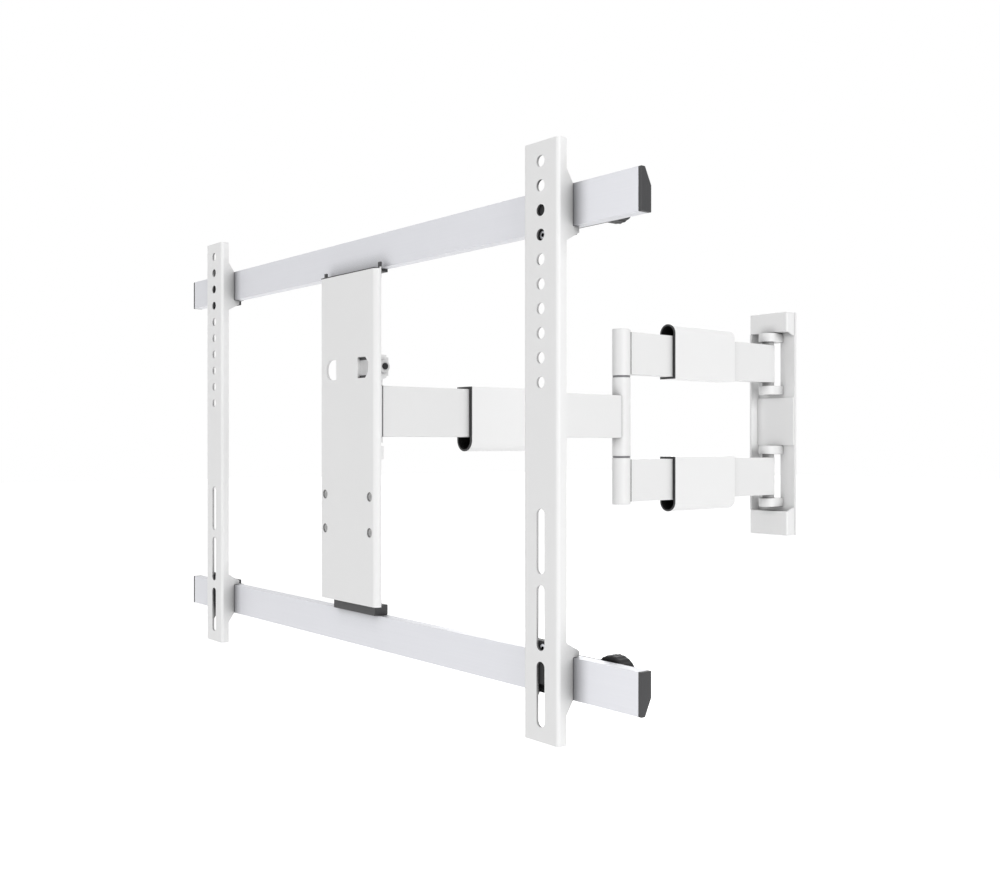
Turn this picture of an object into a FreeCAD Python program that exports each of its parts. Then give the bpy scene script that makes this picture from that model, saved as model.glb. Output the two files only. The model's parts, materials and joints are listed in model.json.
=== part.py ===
import FreeCAD, Part
import Sketcher
import os
import re

# Full motion TV wall mount, millimetres.
# Frame: origin at the middle of the wall plate's back face, +X right, +Y into the wall, +Z up.
# The arms stand straight out from the wall. Every piece is one object with its own label.

SIZES = {
    # wall plate: a thick web with one side flange, end caps and a middle cover
    "plate_width": 58, "plate_height": 286, "plate_gauge": 4,
    "flange_gauge": 2.5, "cap_depth": 20,
    "wall_hole_across": 28, "wall_hole_up": 256, "wall_hole_radius": 3.5,
    "cap_wall": 2, "top_cap_height": 25.5, "bottom_cap_height": 31,
    "gusset_drop": 4.2, "gusset_depth": 7, "cap_gap": 0.2,
    "cover_foot_gap": 0.2, "cover_head_gap": 3.85, "cover_depth": 3, "cover_skin": 1,
    "window_half": 7.5, "window_height": 56,
    # levels above the plate's middle
    "arm_level": 5, "head_level": -24,
    # wall hinges
    "pin_reach": 20, "lug_radius": 12, "lug_height": 11.2, "lug_gap": 4.25,
    "pin_radius": 5, "bush_wall": 1.4, "wall_bush_radius": 7.5, "running": 0.05, "bush_length": 14,
    # arms
    "arm_height": 48, "arm_thick": 16, "arm_wall": 2.5, "rear_arm_offset": 72.3,
    "rear_link": 273, "front_link": 337,
    # elbow
    "barrel_radius": 10.5, "barrel_lip": 2.5, "washer_radius": 10, "washer_height": 1.8,
    "front_barrel_half": 44.5, "rear_barrel_height": 53, "washer_gap": 0.1, "plug_depth": 4,
    # cable covers on the arms
    "sleeve_length": 112, "rear_sleeve_start": 78, "front_sleeve_start": 110.5,
    "sleeve_wall": 1.6, "sleeve_stand": 3.5, "sleeve_edge": 2.5, "duct_rise": 2.7,
    "duct_wall": 2, "bezel_thick": 1.2, "slip": 0.1,
    # swivel yoke
    "swivel_gap": 0.5, "yoke_lug": 5, "yoke_boss": 11, "swivel_head_radius": 8, "swivel_head": 2.5,
    "yoke_gauge": 2.9, "yoke_inner": 12.3, "yoke_web": 2.8, "yoke_web_gap": 0.7,
    "yoke_front": 16, "yoke_foot_front": 13, "yoke_rear": 6, "yoke_lobe": 9, "yoke_lug_front": 12.5,
    "yoke_top": 50, "yoke_lobe_foot": 33, "yoke_lobe_root": 28, "yoke_step": 14, "yoke_foot": 31,
    "channel_top": 52, "channel_foot": 45, "channel_low": 100, "channel_lobe": 5, "channel_rear": 6,
    "channel_lobe_foot": 31, "channel_waist": 9, "channel_tail": 14, "channel_tail_back": 2,
    # tilt pivot and lock
    "tilt_reach": 11, "tilt_pin_radius": 3, "tilt_head_radius": 6, "tilt_head": 2.5,
    "lock_radius": 42.4, "lock_rest": 15, "tilt_down": 15, "tilt_up": 5, "slot_clear": 0.3,
    "channel_gauge": 2.5, "side_gap": 0.3, "nut_radius": 6, "nut_height": 5,
    # head plate, a shallow tray
    "face_reach": 27, "head_width": 96, "head_top": 155, "head_bottom": 147.5,
    "head_gauge": 2.5, "head_depth": 6.2, "head_bend": 5, "ear_rise": 1.5, "ear_gauge": 2.3,
    "window_inner": 18.5, "window_outer": 36, "window_low": 58, "window_high": 77, "window_chamfer": 5,
    "trim_gauge": 1.5, "trim_margin": 3, "trim_inset": 2.6, "trim_edge": 1,
    "vesa_across": 76, "vesa_upper": 49.2, "vesa_pitch": 32.1, "vesa_radius": 4.2,
    "screw_sunk": 1.4, "screw_past": 2,
    # crossbars
    "bar_half_length": 353, "bar_inner": 157.2, "bar_height": 31, "bar_reach": 15, "bar_depth": 10,
    "bar_wall": 2, "bar_chamfer_back": 6.3, "bar_chamfer_rise": 12.4,
    "bar_cap": 3, "bar_plug": 10, "plug_slip": 0.1,
    "saddle_half": 35, "saddle_back": 5.1, "strip_half": 45.5, "strip_gauge": 0.9, "ear_cap_rise": 4.4,
    "ear_cap_wall": 1.3, "ear_cap_depth": 1.8, "bracket_half": 20, "bracket_gauge": 3, "bracket_gap": 0.2,
    "upper_shelf": 154.6, "lower_shelf": 147.8, "bracket_plate": 25, "bracket_rise": 28, "screw_up": 10,
    "screw_side": 10, "thread_radius": 2.5, "screw_head_radius": 4.5, "screw_head": 2.6,
    # rails that take the television
    "rail_x": 270, "rail_high": 220, "rail_low": 220, "rail_width": 38, "rail_depth": 8.4,
    "rail_front": 30, "rail_gauge": 2, "rail_bend": 3, "hole_radius": 4.35, "hole_pitch": 18,
    "first_hole": 14.5, "slot_length": 48, "slot_pitch": 56, "last_slot": 11,
    "hook_out": 9.8, "hook_in": 11.5, "lip_reach": 6, "lip_height": 4, "hook_gap": 0.3,
    # clamps and thumb knobs behind the crossbars
    "clamp_gauge": 3, "clamp_inboard": 15, "clamp_outboard": 58, "clamp_tab": 3.4, "tab_half": 9,
    "clamp_lift": 0.5, "clamp_rise": 24, "block_low": 11.2, "block_high": 20.8,
    "rail_screw_low": 5.7, "rail_screw_radius": 3.6, "rail_screw_length": 5,
    "knob_out": 43, "knob_rise": 2, "knob_radius": 17, "knob_height": 12, "stud_radius": 3,
    "knob_gap": 0.2,
}
HOLE_COUNT = 10
SLOT_COUNT = 3

doc = FreeCAD.newDocument("WallMount")
sheet = doc.addObject("Spreadsheet::Sheet", "Sizes")
for row, (alias, value) in enumerate(SIZES.items(), start=1):
    sheet.set(f"A{row}", alias)
    sheet.set(f"B{row}", str(value))
    sheet.setAlias(f"B{row}", alias)
doc.recompute()

WORD = re.compile(r"\b(" + "|".join(sorted(SIZES, key=len, reverse=True)) + r")\b")
PIECES = []
X_AXIS = FreeCAD.Rotation(FreeCAD.Vector(0, 1, 0), 90)
Y_AXIS = FreeCAD.Rotation(FreeCAD.Vector(1, 0, 0), -90)
Z_AXIS = FreeCAD.Rotation()

# Places that several pieces share, written once as expressions of the sheet.
PIN_Y = "(-pin_reach)"
ELBOW_Y = "(-pin_reach - rear_link)"
SWIVEL_Y = "(-pin_reach - rear_link - front_link)"
TILT_Y = f"({SWIVEL_Y} - tilt_reach)"
FACE_Y = f"({SWIVEL_Y} - face_reach)"              # front of the head plate
BACK_Y = f"({FACE_Y} + head_gauge)"                # back of the head plate's sheet
BAR_Y = f"({SWIVEL_Y} - bar_reach)"                # front of the crossbars
BAR_BACK = f"({BAR_Y} + bar_depth)"
RAIL_Y = f"({SWIVEL_Y} - rail_front)"              # front of the rails
HALF_PLATE = "(plate_width / 2)"
CAP_LOW = "(plate_height / 2 - top_cap_height)"    # foot of the top cap
CAP_HIGH = "(-plate_height / 2 + bottom_cap_height)"
LOCK_Y = f"({TILT_Y} + lock_radius * sin(lock_rest * 1deg))"
LOCK_Z = "(arm_level + lock_radius * cos(lock_rest * 1deg))"
SEAT = "(pin_radius + bush_wall)"
CHANNEL_INNER = "(yoke_inner + yoke_gauge + side_gap)"
CHANNEL_OUTER = f"({CHANNEL_INNER} + channel_gauge)"


def bind(thing, prop, text):
    """Ties a property to the sheet, with each size written by its plain name."""
    thing.setExpression(prop, WORD.sub(r"Sizes.\1", text))


def place(thing, x, y, z, turn=Z_AXIS):
    thing.Placement = FreeCAD.Placement(FreeCAD.Vector(), turn)
    for axis, text in zip("xyz", (x, y, z)):
        bind(thing, f"Placement.Base.{axis}", text)
    return thing


def box(low, size):
    made = doc.addObject("Part::Box", "Block")
    for prop, text in zip(("Length", "Width", "Height"), size):
        bind(made, prop, text)
    return place(made, *low)


def rod(base, radius, length, turn=Z_AXIS, angle=None):
    made = doc.addObject("Part::Cylinder", "Rod")
    bind(made, "Radius", radius)
    bind(made, "Height", length)
    if angle:
        bind(made, "Angle", angle)
    return place(made, *base, turn)


def fuse(*shapes):
    made = doc.addObject("Part::MultiFuse", "Joined")
    made.Shapes = list(shapes)
    made.Refine = True
    return made


def cut(base, *tools):
    made = base
    for tool in tools:
        step = doc.addObject("Part::Cut", "Cut")
        step.Base = made
        step.Tool = tool
        step.Refine = True
        made = step
    return made


def group(*shapes):
    made = doc.addObject("Part::Compound", "Group")
    made.Links = list(shapes)
    return made


def mirror(source, normal, level="0"):
    made = doc.addObject("Part::Mirroring", "Mirrored")
    made.Source = source
    made.Normal = FreeCAD.Vector(*normal)
    for axis, part in zip("xyz", normal):
        if part:
            bind(made, f"Base.{axis}", level)
    return made


def both_sides(source):
    return group(source, mirror(source, (1, 0, 0)))


def piece(label, made):
    made.Label = label
    PIECES.append(made)
    return made


def plane_of(body, role):
    return next(f for f in body.Origin.OriginFeatures if f.Role == role)


def polygon(body, role, offset, corners):
    """A closed outline on one of the body's own planes, with every corner tied to the sheet."""
    sketch = body.newObject("Sketcher::SketchObject", "Outline")
    sketch.AttachmentSupport = [(plane_of(body, role), "")]
    sketch.MapMode = "FlatFace"
    bind(sketch, "AttachmentOffset.Base.z", offset)
    count = len(corners)
    ring = [FreeCAD.Rotation(FreeCAD.Vector(0, 0, 1), 360 * i / count).multVec(FreeCAD.Vector(9, 0, 0))
            for i in range(count)]
    for i in range(count):
        sketch.addGeometry(Part.LineSegment(ring[i], ring[(i + 1) % count]), False)
    for i in range(count):
        sketch.addConstraint(Sketcher.Constraint("Coincident", i, 2, (i + 1) % count, 1))
    for i, corner in enumerate(corners):
        for kind, text, now in (("DistanceX", corner[0], ring[i].x), ("DistanceY", corner[1], ring[i].y)):
            index = sketch.addConstraint(Sketcher.Constraint(kind, -1, 1, i, 1, now))
            bind(sketch, f"Constraints[{index}]", text)
    return sketch


def pad(label, role, offset, corners, length):
    """A body padded from an outline, along the plane's normal."""
    body = doc.addObject("PartDesign::Body", label)
    sketch = polygon(body, role, offset, corners)
    made = body.newObject("PartDesign::Pad", "Pad")
    made.Profile = sketch
    bind(made, "Length", length)
    body.Tip = made
    return body


def round_front(body, radius):
    """Fillets the upright edges at a body's front, where the sheet is bent or the moulding rounded."""
    doc.recompute()
    base = body.Tip
    face = base.Shape.BoundBox.YMin
    names = []
    for i, edge in enumerate(base.Shape.Edges, start=1):
        span = edge.BoundBox
        if span.ZLength > 1 and span.XLength < 0.01 and span.YMax < face + 0.01:
            names.append(f"Edge{i}")
    made = body.newObject("PartDesign::Fillet", "Fillet")
    made.Base = (base, names)
    bind(made, "Radius", radius)
    body.Tip = made


def ring(base, outer, inner, height, turn=Z_AXIS):
    return cut(rod(base, outer, height, turn), rod(base, inner, height, turn))


# ---------------------------------------------------------------- wall plate

def rear_level(side):
    return f"(arm_level + {side}rear_arm_offset)"


def wall_plate():
    web = box((f"-{HALF_PLATE}", "-plate_gauge", "-plate_height / 2"),
              ("plate_width", "plate_gauge", "plate_height"))
    flange = box((f"-{HALF_PLATE}", "-cap_depth", f"{CAP_HIGH} + cap_gap"),
                 ("flange_gauge", "cap_depth", f"{CAP_LOW} - {CAP_HIGH} - 2 * cap_gap"))
    tools = []
    for side in ("", "-"):
        for level in ("", "-"):
            tools.append(rod((f"{side}wall_hole_across / 2", "-plate_gauge", f"{level}wall_hole_up / 2"),
                             "wall_hole_radius", "plate_gauge", Y_AXIS))
        tools.append(box(("-window_half", "-plate_gauge", f"{rear_level(side)} - window_height / 2"),
                         ("2 * window_half", "plate_gauge", "window_height")))
    piece("wall_plate", cut(fuse(web, flange), *tools))


def hinge_lugs(name, side):
    """Two lugs, welded to the plate above and below one rear arm."""
    reach = "(arm_height / 2 + lug_gap)"
    lugs = []
    for low in (f"{rear_level(side)} + {reach}", f"{rear_level(side)} - {reach} - lug_height"):
        round_end = rod(("0", PIN_Y, low), "lug_radius", "lug_height")
        arm = box(("-lug_radius", PIN_Y, low), ("2 * lug_radius", "pin_reach - plate_gauge", "lug_height"))
        bore = rod(("0", PIN_Y, low), "pin_radius", "lug_height")
        lugs.append(cut(fuse(round_end, arm), bore))
    piece(f"{name}_hinge_lugs", group(*lugs))
    span = f"({reach} + lug_height)"
    piece(f"{name}_wall_pin", rod(("0", PIN_Y, f"{rear_level(side)} - {span}"), "pin_radius", f"2 * {span}"))


def end_cap(label, low, high, sign):
    """A hollow cover over one end of the plate, with a small gusset on its right side."""
    height = f"({high} - {low})"
    shell = pad(f"{label}_shell", "XY_Plane", low, [
        (f"-{HALF_PLATE}", "-plate_gauge"), (f"-{HALF_PLATE}", "-cap_depth"),
        (HALF_PLATE, "-cap_depth"), (HALF_PLATE, "-plate_gauge")], height)
    round_front(shell, "cap_wall")
    hollow = box((f"-{HALF_PLATE} + cap_wall", "-cap_depth + cap_wall", f"{low} + cap_wall"),
                 ("plate_width - 2 * cap_wall", "cap_depth", f"{height} - 2 * cap_wall"))
    foot = low if sign == "" else high
    gusset = pad(f"{label}_gusset", "YZ_Plane", f"{HALF_PLATE} - cap_wall", [
        ("-plate_gauge", f"{foot} + {sign}1"), ("-cap_depth + cap_wall", f"{foot} + {sign}1"),
        ("-cap_depth + cap_wall", foot), ("-gusset_depth", f"{foot} - {sign}(gusset_drop)"),
        ("-plate_gauge", f"{foot} - {sign}(gusset_drop)")], "cap_wall")
    piece(label, fuse(cut(shell, hollow), gusset))


def middle_cover():
    """A thin cover on the web, between the lower arm's upper lug and the upper arm's lower lug."""
    left = f"(-{HALF_PLATE} + flange_gauge + cap_gap)"
    reach = "(arm_height / 2 + lug_gap + lug_height)"
    foot = f"({rear_level('-')} + {reach} + cover_foot_gap)"
    head = f"({rear_level('')} - {reach} - cover_head_gap)"
    front = "(-plate_gauge - cover_depth)"
    skin = box((left, front, foot), (f"{HALF_PLATE} - {left}", "cover_depth", f"{head} - {foot}"))
    hollow = box((f"{left} + cover_skin", f"{front} + cover_skin", f"{foot} + cover_skin"),
                 (f"{HALF_PLATE} - {left} - 2 * cover_skin", "cover_depth",
                  f"{head} - {foot} - 2 * cover_skin"))
    piece("middle_cover", cut(skin, hollow))


# ---------------------------------------------------------------- arms

def bushes(label, y, ends, flange, radius):
    """A flanged bush at each end of a pivot, with its flange outside the arm or barrel."""
    made = []
    for edge, outward in ends:
        sleeve_low = f"{edge} - bush_length" if outward > 0 else edge
        flange_low = edge if outward > 0 else f"{edge} - {flange} + running"
        outer = fuse(rod(("0", y, sleeve_low), SEAT, "bush_length"),
                     rod(("0", y, flange_low), radius, f"{flange} - running"))
        bore = rod(("0", y, f"{edge} - 2 * bush_length"), "pin_radius + running", "4 * bush_length")
        made.append(cut(outer, bore))
    piece(label, group(*made))


def rear_arm(name, side):
    """A flat tube, round at its wall end, that is welded to its elbow barrel."""
    low = f"({rear_level(side)} - arm_height / 2)"
    half = "arm_thick / 2"
    outer = fuse(box((f"-{half}", f"{ELBOW_Y} + barrel_radius - barrel_lip", low),
                     ("arm_thick", "rear_link - barrel_radius + barrel_lip", "arm_height")),
                 rod(("0", PIN_Y, low), half, "arm_height"))
    hollow = box((f"-{half} + arm_wall", ELBOW_Y, f"{low} + arm_wall"),
                 ("arm_thick - 2 * arm_wall", f"rear_link - {half} - arm_wall", "arm_height - 2 * arm_wall"))
    barrel = rod(("0", ELBOW_Y, f"{low} - 1"), "barrel_radius", "arm_height + 2")
    bore = rod(("0", PIN_Y, low), SEAT, "arm_height")
    piece(f"{name}_rear_arm", cut(outer, hollow, barrel, bore))
    bushes(f"{name}_wall_bushes", PIN_Y, ((f"({low} + arm_height)", 1), (low, -1)), "lug_gap",
           "wall_bush_radius")
    foot = "arm_level + front_barrel_half + washer_height + 2 * washer_gap"
    if side == "-":
        foot = "arm_level - front_barrel_half - washer_height - 2 * washer_gap - rear_barrel_height"
    piece(f"{name}_elbow_barrel",
          ring(("0", ELBOW_Y, foot), "barrel_radius", "pin_radius", "rear_barrel_height"))


def elbow():
    reach = "(front_barrel_half + washer_height + 2 * washer_gap + rear_barrel_height - plug_depth)"
    piece("elbow_pin", rod(("0", ELBOW_Y, f"arm_level - {reach}"), "pin_radius", f"2 * {reach}"))
    plugs = [rod(("0", ELBOW_Y, low), "pin_radius", "plug_depth")
             for low in (f"arm_level + {reach}", f"arm_level - {reach} - plug_depth")]
    piece("elbow_plugs", group(*plugs))
    piece("front_elbow_barrel", ring(("0", ELBOW_Y, "arm_level - front_barrel_half"), "barrel_radius",
                                     SEAT, "2 * front_barrel_half"))
    ends = (("(arm_level + front_barrel_half)", 1), ("(arm_level - front_barrel_half)", -1))
    bushes("elbow_bushes", ELBOW_Y, ends, "(washer_height + washer_gap)", "washer_radius")


def front_arm():
    low = "(arm_level - arm_height / 2)"
    half = "arm_thick / 2"
    outer = box((f"-{half}", f"{SWIVEL_Y} + barrel_radius - barrel_lip", low),
                ("arm_thick", "front_link - 2 * barrel_radius + 2 * barrel_lip", "arm_height"))
    hollow = box((f"-{half} + arm_wall", f"{SWIVEL_Y}", f"{low} + arm_wall"),
                 ("arm_thick - 2 * arm_wall", "front_link", "arm_height - 2 * arm_wall"))
    ends = [rod(("0", y, f"{low} - 1"), "barrel_radius", "arm_height + 2") for y in (SWIVEL_Y, ELBOW_Y)]
    piece("front_arm", cut(outer, hollow, *ends))
    piece("head_barrel", ring(("0", SWIVEL_Y, low), "barrel_radius", SEAT, "arm_height"))
    bushes("swivel_bushes", SWIVEL_Y, ((f"({low} + arm_height)", 1), (low, -1)), "swivel_gap", "washer_radius")


def cable_sleeve(name, start, middle, up):
    """A cover round an arm with a half-round cable duct along one edge, and a bezel at its front end."""
    half = "(arm_thick / 2 + sleeve_stand)"
    edge = "(arm_height / 2)"
    duct_z = f"({middle} + {up} * ({edge} + duct_rise))"

    def form(inset, first, length):
        height = f"(2 * {edge} + sleeve_edge + duct_rise - {inset})"
        low = f"({middle} - {edge} - sleeve_edge + {inset})" if up > 0 else f"({middle} - {edge} - duct_rise)"
        walls = box((f"-{half} + {inset}", first, low), (f"2 * ({half} - {inset})", length, height))
        return fuse(walls, rod(("0", first, duct_z), f"{half} - {inset}", length, Y_AXIS))

    arm_hole = box(("-arm_thick / 2 - slip", f"{start} - 1", f"{middle} - {edge} - slip"),
                   ("arm_thick + 2 * slip", "sleeve_length + 2", "arm_height + 2 * slip"))
    duct = rod(("0", f"{start} - 1", duct_z), f"{half} - duct_wall", "sleeve_length + 2", Y_AXIS)
    shell = cut(form("0", f"{start} + bezel_thick", "sleeve_length - bezel_thick"),
                form("sleeve_wall", f"{start} - 1", "sleeve_length + 1 - 3"), arm_hole, duct)
    piece(f"{name}_cable_cover", shell)
    piece(f"{name}_cover_bezel", cut(form("0", start, "bezel_thick"), arm_hole, duct))


# ---------------------------------------------------------------- yoke and tilt channel

def cheek(label, inner, gauge, corners):
    """One upright cheek from an outline of (y, z), and its mirror image."""
    right = pad(label, "YZ_Plane", inner, corners, gauge)
    return right, mirror(right, (1, 0, 0))


def outline_from_swivel(points):
    """Turns (y, z) offsets from the swivel at arm level into corners in the frame."""
    return [(f"{SWIVEL_Y} + {y}", f"arm_level + {z}") for y, z in points]


def lock_slot():
    """The curved slot that the lock bolt runs in, rounded at both ends."""
    half = "(tilt_pin_radius + slot_clear)"
    start = ("-plate_width", TILT_Y, "arm_level")
    first = 180 - SIZES["lock_rest"] - SIZES["tilt_up"]
    turn = X_AXIS.multiply(FreeCAD.Rotation(FreeCAD.Vector(0, 0, 1), first))
    width = "2 * plate_width"
    outer = rod(start, f"lock_radius + {half}", width, turn, "tilt_down + tilt_up")
    inner = rod(start, f"lock_radius - {half}", width, turn, "360")
    ends = []
    for angle in ("(lock_rest - tilt_down)", "(lock_rest + tilt_up)"):
        ends.append(rod(("-plate_width", f"{TILT_Y} + lock_radius * sin({angle} * 1deg)",
                         f"arm_level + lock_radius * cos({angle} * 1deg)"), half, width, X_AXIS))
    return [cut(outer, inner), *ends]


def swivel_yoke():
    """Two lugs round the arm's head barrel, a web in front of it and two cheeks for the tilt."""
    sides = cheek("yoke_cheek", "yoke_inner", "yoke_gauge", outline_from_swivel([
        ("-yoke_front", "yoke_top"), ("yoke_lobe", "yoke_top"), ("yoke_lobe", "yoke_lobe_foot"),
        ("-yoke_rear", "yoke_lobe_root"), ("-yoke_rear", "-yoke_foot"), ("-yoke_foot_front", "-yoke_foot"),
        ("-yoke_front", "-yoke_step")]))
    front = f"{SWIVEL_Y} - barrel_radius - yoke_web_gap - yoke_web"
    half_width = "(yoke_inner + yoke_gauge)"
    reach = "(arm_height / 2 + swivel_gap)"
    web = box((f"-{half_width}", front, f"arm_level - {reach}"),
              (f"2 * {half_width}", "yoke_web", f"2 * {reach} + yoke_lug"))
    parts = [*sides, web]
    for low in (f"arm_level + {reach}", f"arm_level - {reach} - yoke_lug"):
        parts.append(box((f"-{half_width}", f"{SWIVEL_Y} - yoke_lug_front", low),
                         (f"2 * {half_width}", "yoke_lug_front - yoke_rear", "yoke_lug")))
        parts.append(box(("-yoke_boss", f"{SWIVEL_Y} - yoke_lug_front", low),
                         ("2 * yoke_boss", "yoke_lug_front", "yoke_lug")))
        parts.append(rod(("0", SWIVEL_Y, low), "yoke_boss", "yoke_lug"))
    bore = rod(("0", SWIVEL_Y, f"arm_level - arm_height"), "pin_radius", "2 * arm_height")
    pivot = rod(("-plate_width", TILT_Y, "arm_level"), "tilt_pin_radius", "2 * plate_width", X_AXIS)
    piece("swivel_yoke", cut(fuse(*parts), bore, pivot, *lock_slot()))
    span = f"({reach} + yoke_lug)"
    shank = rod(("0", SWIVEL_Y, f"arm_level - {span}"), "pin_radius", f"2 * {span}")
    heads = [rod(("0", SWIVEL_Y, low), "swivel_head_radius", "swivel_head")
             for low in (f"arm_level + {span}", f"arm_level - {span} - swivel_head")]
    piece("swivel_pin", fuse(shank, *heads))
    stub = fuse(rod(("yoke_inner", TILT_Y, "arm_level"), "tilt_pin_radius",
                    f"{CHANNEL_OUTER} - yoke_inner + side_gap", X_AXIS),
                rod((f"{CHANNEL_OUTER} + side_gap", TILT_Y, "arm_level"), "tilt_head_radius", "tilt_head",
                    X_AXIS))
    piece("tilt_pivots", both_sides(stub))


def tilt_channel():
    """A channel behind the head plate, whose cheeks hang on the tilt pivots and hold the lock bolt."""
    rear = outline_from_swivel([
        ("channel_lobe", "channel_top"), ("channel_lobe", "channel_lobe_foot"),
        ("-channel_waist", "arm_height / 2"), ("-channel_rear", "channel_rear"),
        ("-channel_rear", "-channel_rear"), ("-channel_tail", "-arm_height / 2"),
        ("-channel_tail", "-channel_lobe_foot + 1"), ("channel_tail_back", "-channel_lobe_foot - 2"),
        ("channel_tail_back", "-channel_foot")])
    front = [(BACK_Y, "arm_level - channel_foot"), (BACK_Y, "arm_level + channel_top")]
    sides = cheek("channel_cheek", CHANNEL_INNER, "channel_gauge", front + rear)
    head = "(head_level + upper_shelf - bracket_plate - cap_gap)"
    web = box((f"-{CHANNEL_OUTER}", BACK_Y, "arm_level - channel_low"),
              (f"2 * {CHANNEL_OUTER}", "channel_gauge", f"{head} - arm_level + channel_low"))
    pivot = rod(("-plate_width", TILT_Y, "arm_level"), "tilt_pin_radius + running", "2 * plate_width", X_AXIS)
    bolt_hole = rod(("-plate_width", LOCK_Y, LOCK_Z), "tilt_pin_radius", "2 * plate_width", X_AXIS)
    piece("tilt_channel", cut(fuse(web, *sides), pivot, bolt_hole))
    reach = f"({CHANNEL_OUTER} + nut_height + 1)"
    piece("tilt_lock_bolt", rod((f"-{reach}", LOCK_Y, LOCK_Z), "tilt_pin_radius", f"2 * {reach}", X_AXIS))
    nut = ring((CHANNEL_OUTER, LOCK_Y, LOCK_Z), "nut_radius", "tilt_pin_radius", "nut_height", X_AXIS)
    piece("tilt_lock_nuts", both_sides(nut))


# ---------------------------------------------------------------- head plate and crossbars

def head_windows():
    """The right window has two chamfered corners, and the left one a round outer side."""
    foot = "(head_level + window_low)"
    head = "(head_level + window_high)"
    right = pad("right_window", "XZ_Plane", f"-{BACK_Y}", [
        ("window_inner", foot), ("window_outer - window_chamfer", foot),
        ("window_outer", f"{foot} + window_chamfer"), ("window_outer", f"{head} - window_chamfer"),
        ("window_outer - window_chamfer", head), ("window_inner", head)], "head_gauge")
    half = "((window_high - window_low) / 2)"
    left = box((f"-window_outer + {half}", FACE_Y, foot),
               (f"window_outer - window_inner - {half}", "head_gauge", f"2 * {half}"))
    outward = Y_AXIS.multiply(FreeCAD.Rotation(FreeCAD.Vector(0, 0, 1), 90))
    curve = rod((f"-window_outer + {half}", FACE_Y, f"{foot} + {half}"), half, "head_gauge", outward, "180")
    return [right, left, curve]


def window_trim():
    """A black trim behind the right window, open on its inner side."""
    foot = "(head_level + window_low)"
    height = "(window_high - window_low)"
    across = "(window_outer - window_inner)"
    outer = box(("window_inner", BACK_Y, f"{foot} - trim_margin"),
                (f"{across} + trim_margin", "trim_gauge", f"{height} + 2 * trim_margin"))
    opening = box(("window_inner", BACK_Y, f"{foot} + trim_inset"),
                  (f"{across} - trim_edge", "trim_gauge", f"{height} - 2 * trim_inset"))
    piece("window_trim", cut(outer, opening))


def head_plate():
    """A shallow tray open to the back and at both ends, with two windows and two ears."""
    half = "head_width / 2"
    low = "(head_level - head_bottom)"
    tray = pad("head_tray", "XY_Plane", low, [
        (f"-{half}", FACE_Y), (half, FACE_Y), (half, f"{FACE_Y} + head_depth"),
        (f"-{half}", f"{FACE_Y} + head_depth")], "head_bottom + head_top")
    round_front(tray, "head_bend")
    hollow = box((f"-{half} + ear_gauge", BACK_Y, f"{low} - 1"),
                 ("head_width - 2 * ear_gauge", "head_depth", "head_bottom + head_top + 2"))
    tools = [hollow]
    tools += head_windows()
    for side in (1, -1):
        for drop in ("vesa_upper", "(vesa_upper + vesa_pitch)"):
            tools.append(rod((f"{side} * vesa_across / 2", FACE_Y, f"head_level - {drop}"),
                             "vesa_radius", "head_gauge", Y_AXIS))
    ear = box((f"{half} - ear_gauge", f"{FACE_Y} + head_bend", f"head_level + head_top - 1"),
              ("ear_gauge", "head_depth - head_bend", "1 + ear_rise"))
    piece("head_plate", fuse(cut(tray, *tools), ear, mirror(ear, (1, 0, 0))))
    screws = []
    for side in ("", "-"):
        for drop in ("vesa_upper", "(vesa_upper + vesa_pitch)"):
            screws.append(rod((f"{side}vesa_across / 2", f"{FACE_Y} + screw_sunk", f"head_level - {drop}"),
                              "vesa_radius", "head_gauge - screw_sunk + screw_past", Y_AXIS))
    piece("head_screws", group(*screws))


def bar_section(label, inset, first, length):
    inner = "head_level + bar_inner"
    outer = f"{inner} + bar_height"
    return pad(label, "YZ_Plane", first, [
        (f"{BAR_Y} + {inset}", f"{inner} + {inset}"), (f"{BAR_BACK} - {inset}", f"{inner} + {inset}"),
        (f"{BAR_BACK} - {inset}", f"{outer} - bar_chamfer_rise - {inset} * 0.35"),
        (f"{BAR_BACK} - bar_chamfer_back - {inset} * 0.35", f"{outer} - {inset}"),
        (f"{BAR_Y} + {inset}", f"{outer} - {inset}")], length)


def crossbars():
    bar = cut(bar_section("bar_outside", "0", "-bar_half_length", "2 * bar_half_length"),
              bar_section("bar_inside", "bar_wall", "-bar_half_length", "2 * bar_half_length"))
    cap = fuse(bar_section("cap_face", "0", "bar_half_length", "bar_cap"),
               bar_section("cap_plug", "(bar_wall + plug_slip)", "bar_half_length - bar_plug", "bar_plug"))
    left = mirror(cap, (1, 0, 0))
    for kind, source in (("crossbar", bar), ("right_bar_cap", cap), ("left_bar_cap", left)):
        piece(f"upper_{kind}", source)
        piece(f"lower_{kind}", mirror(source, (0, 0, 1), "head_level"))


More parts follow.
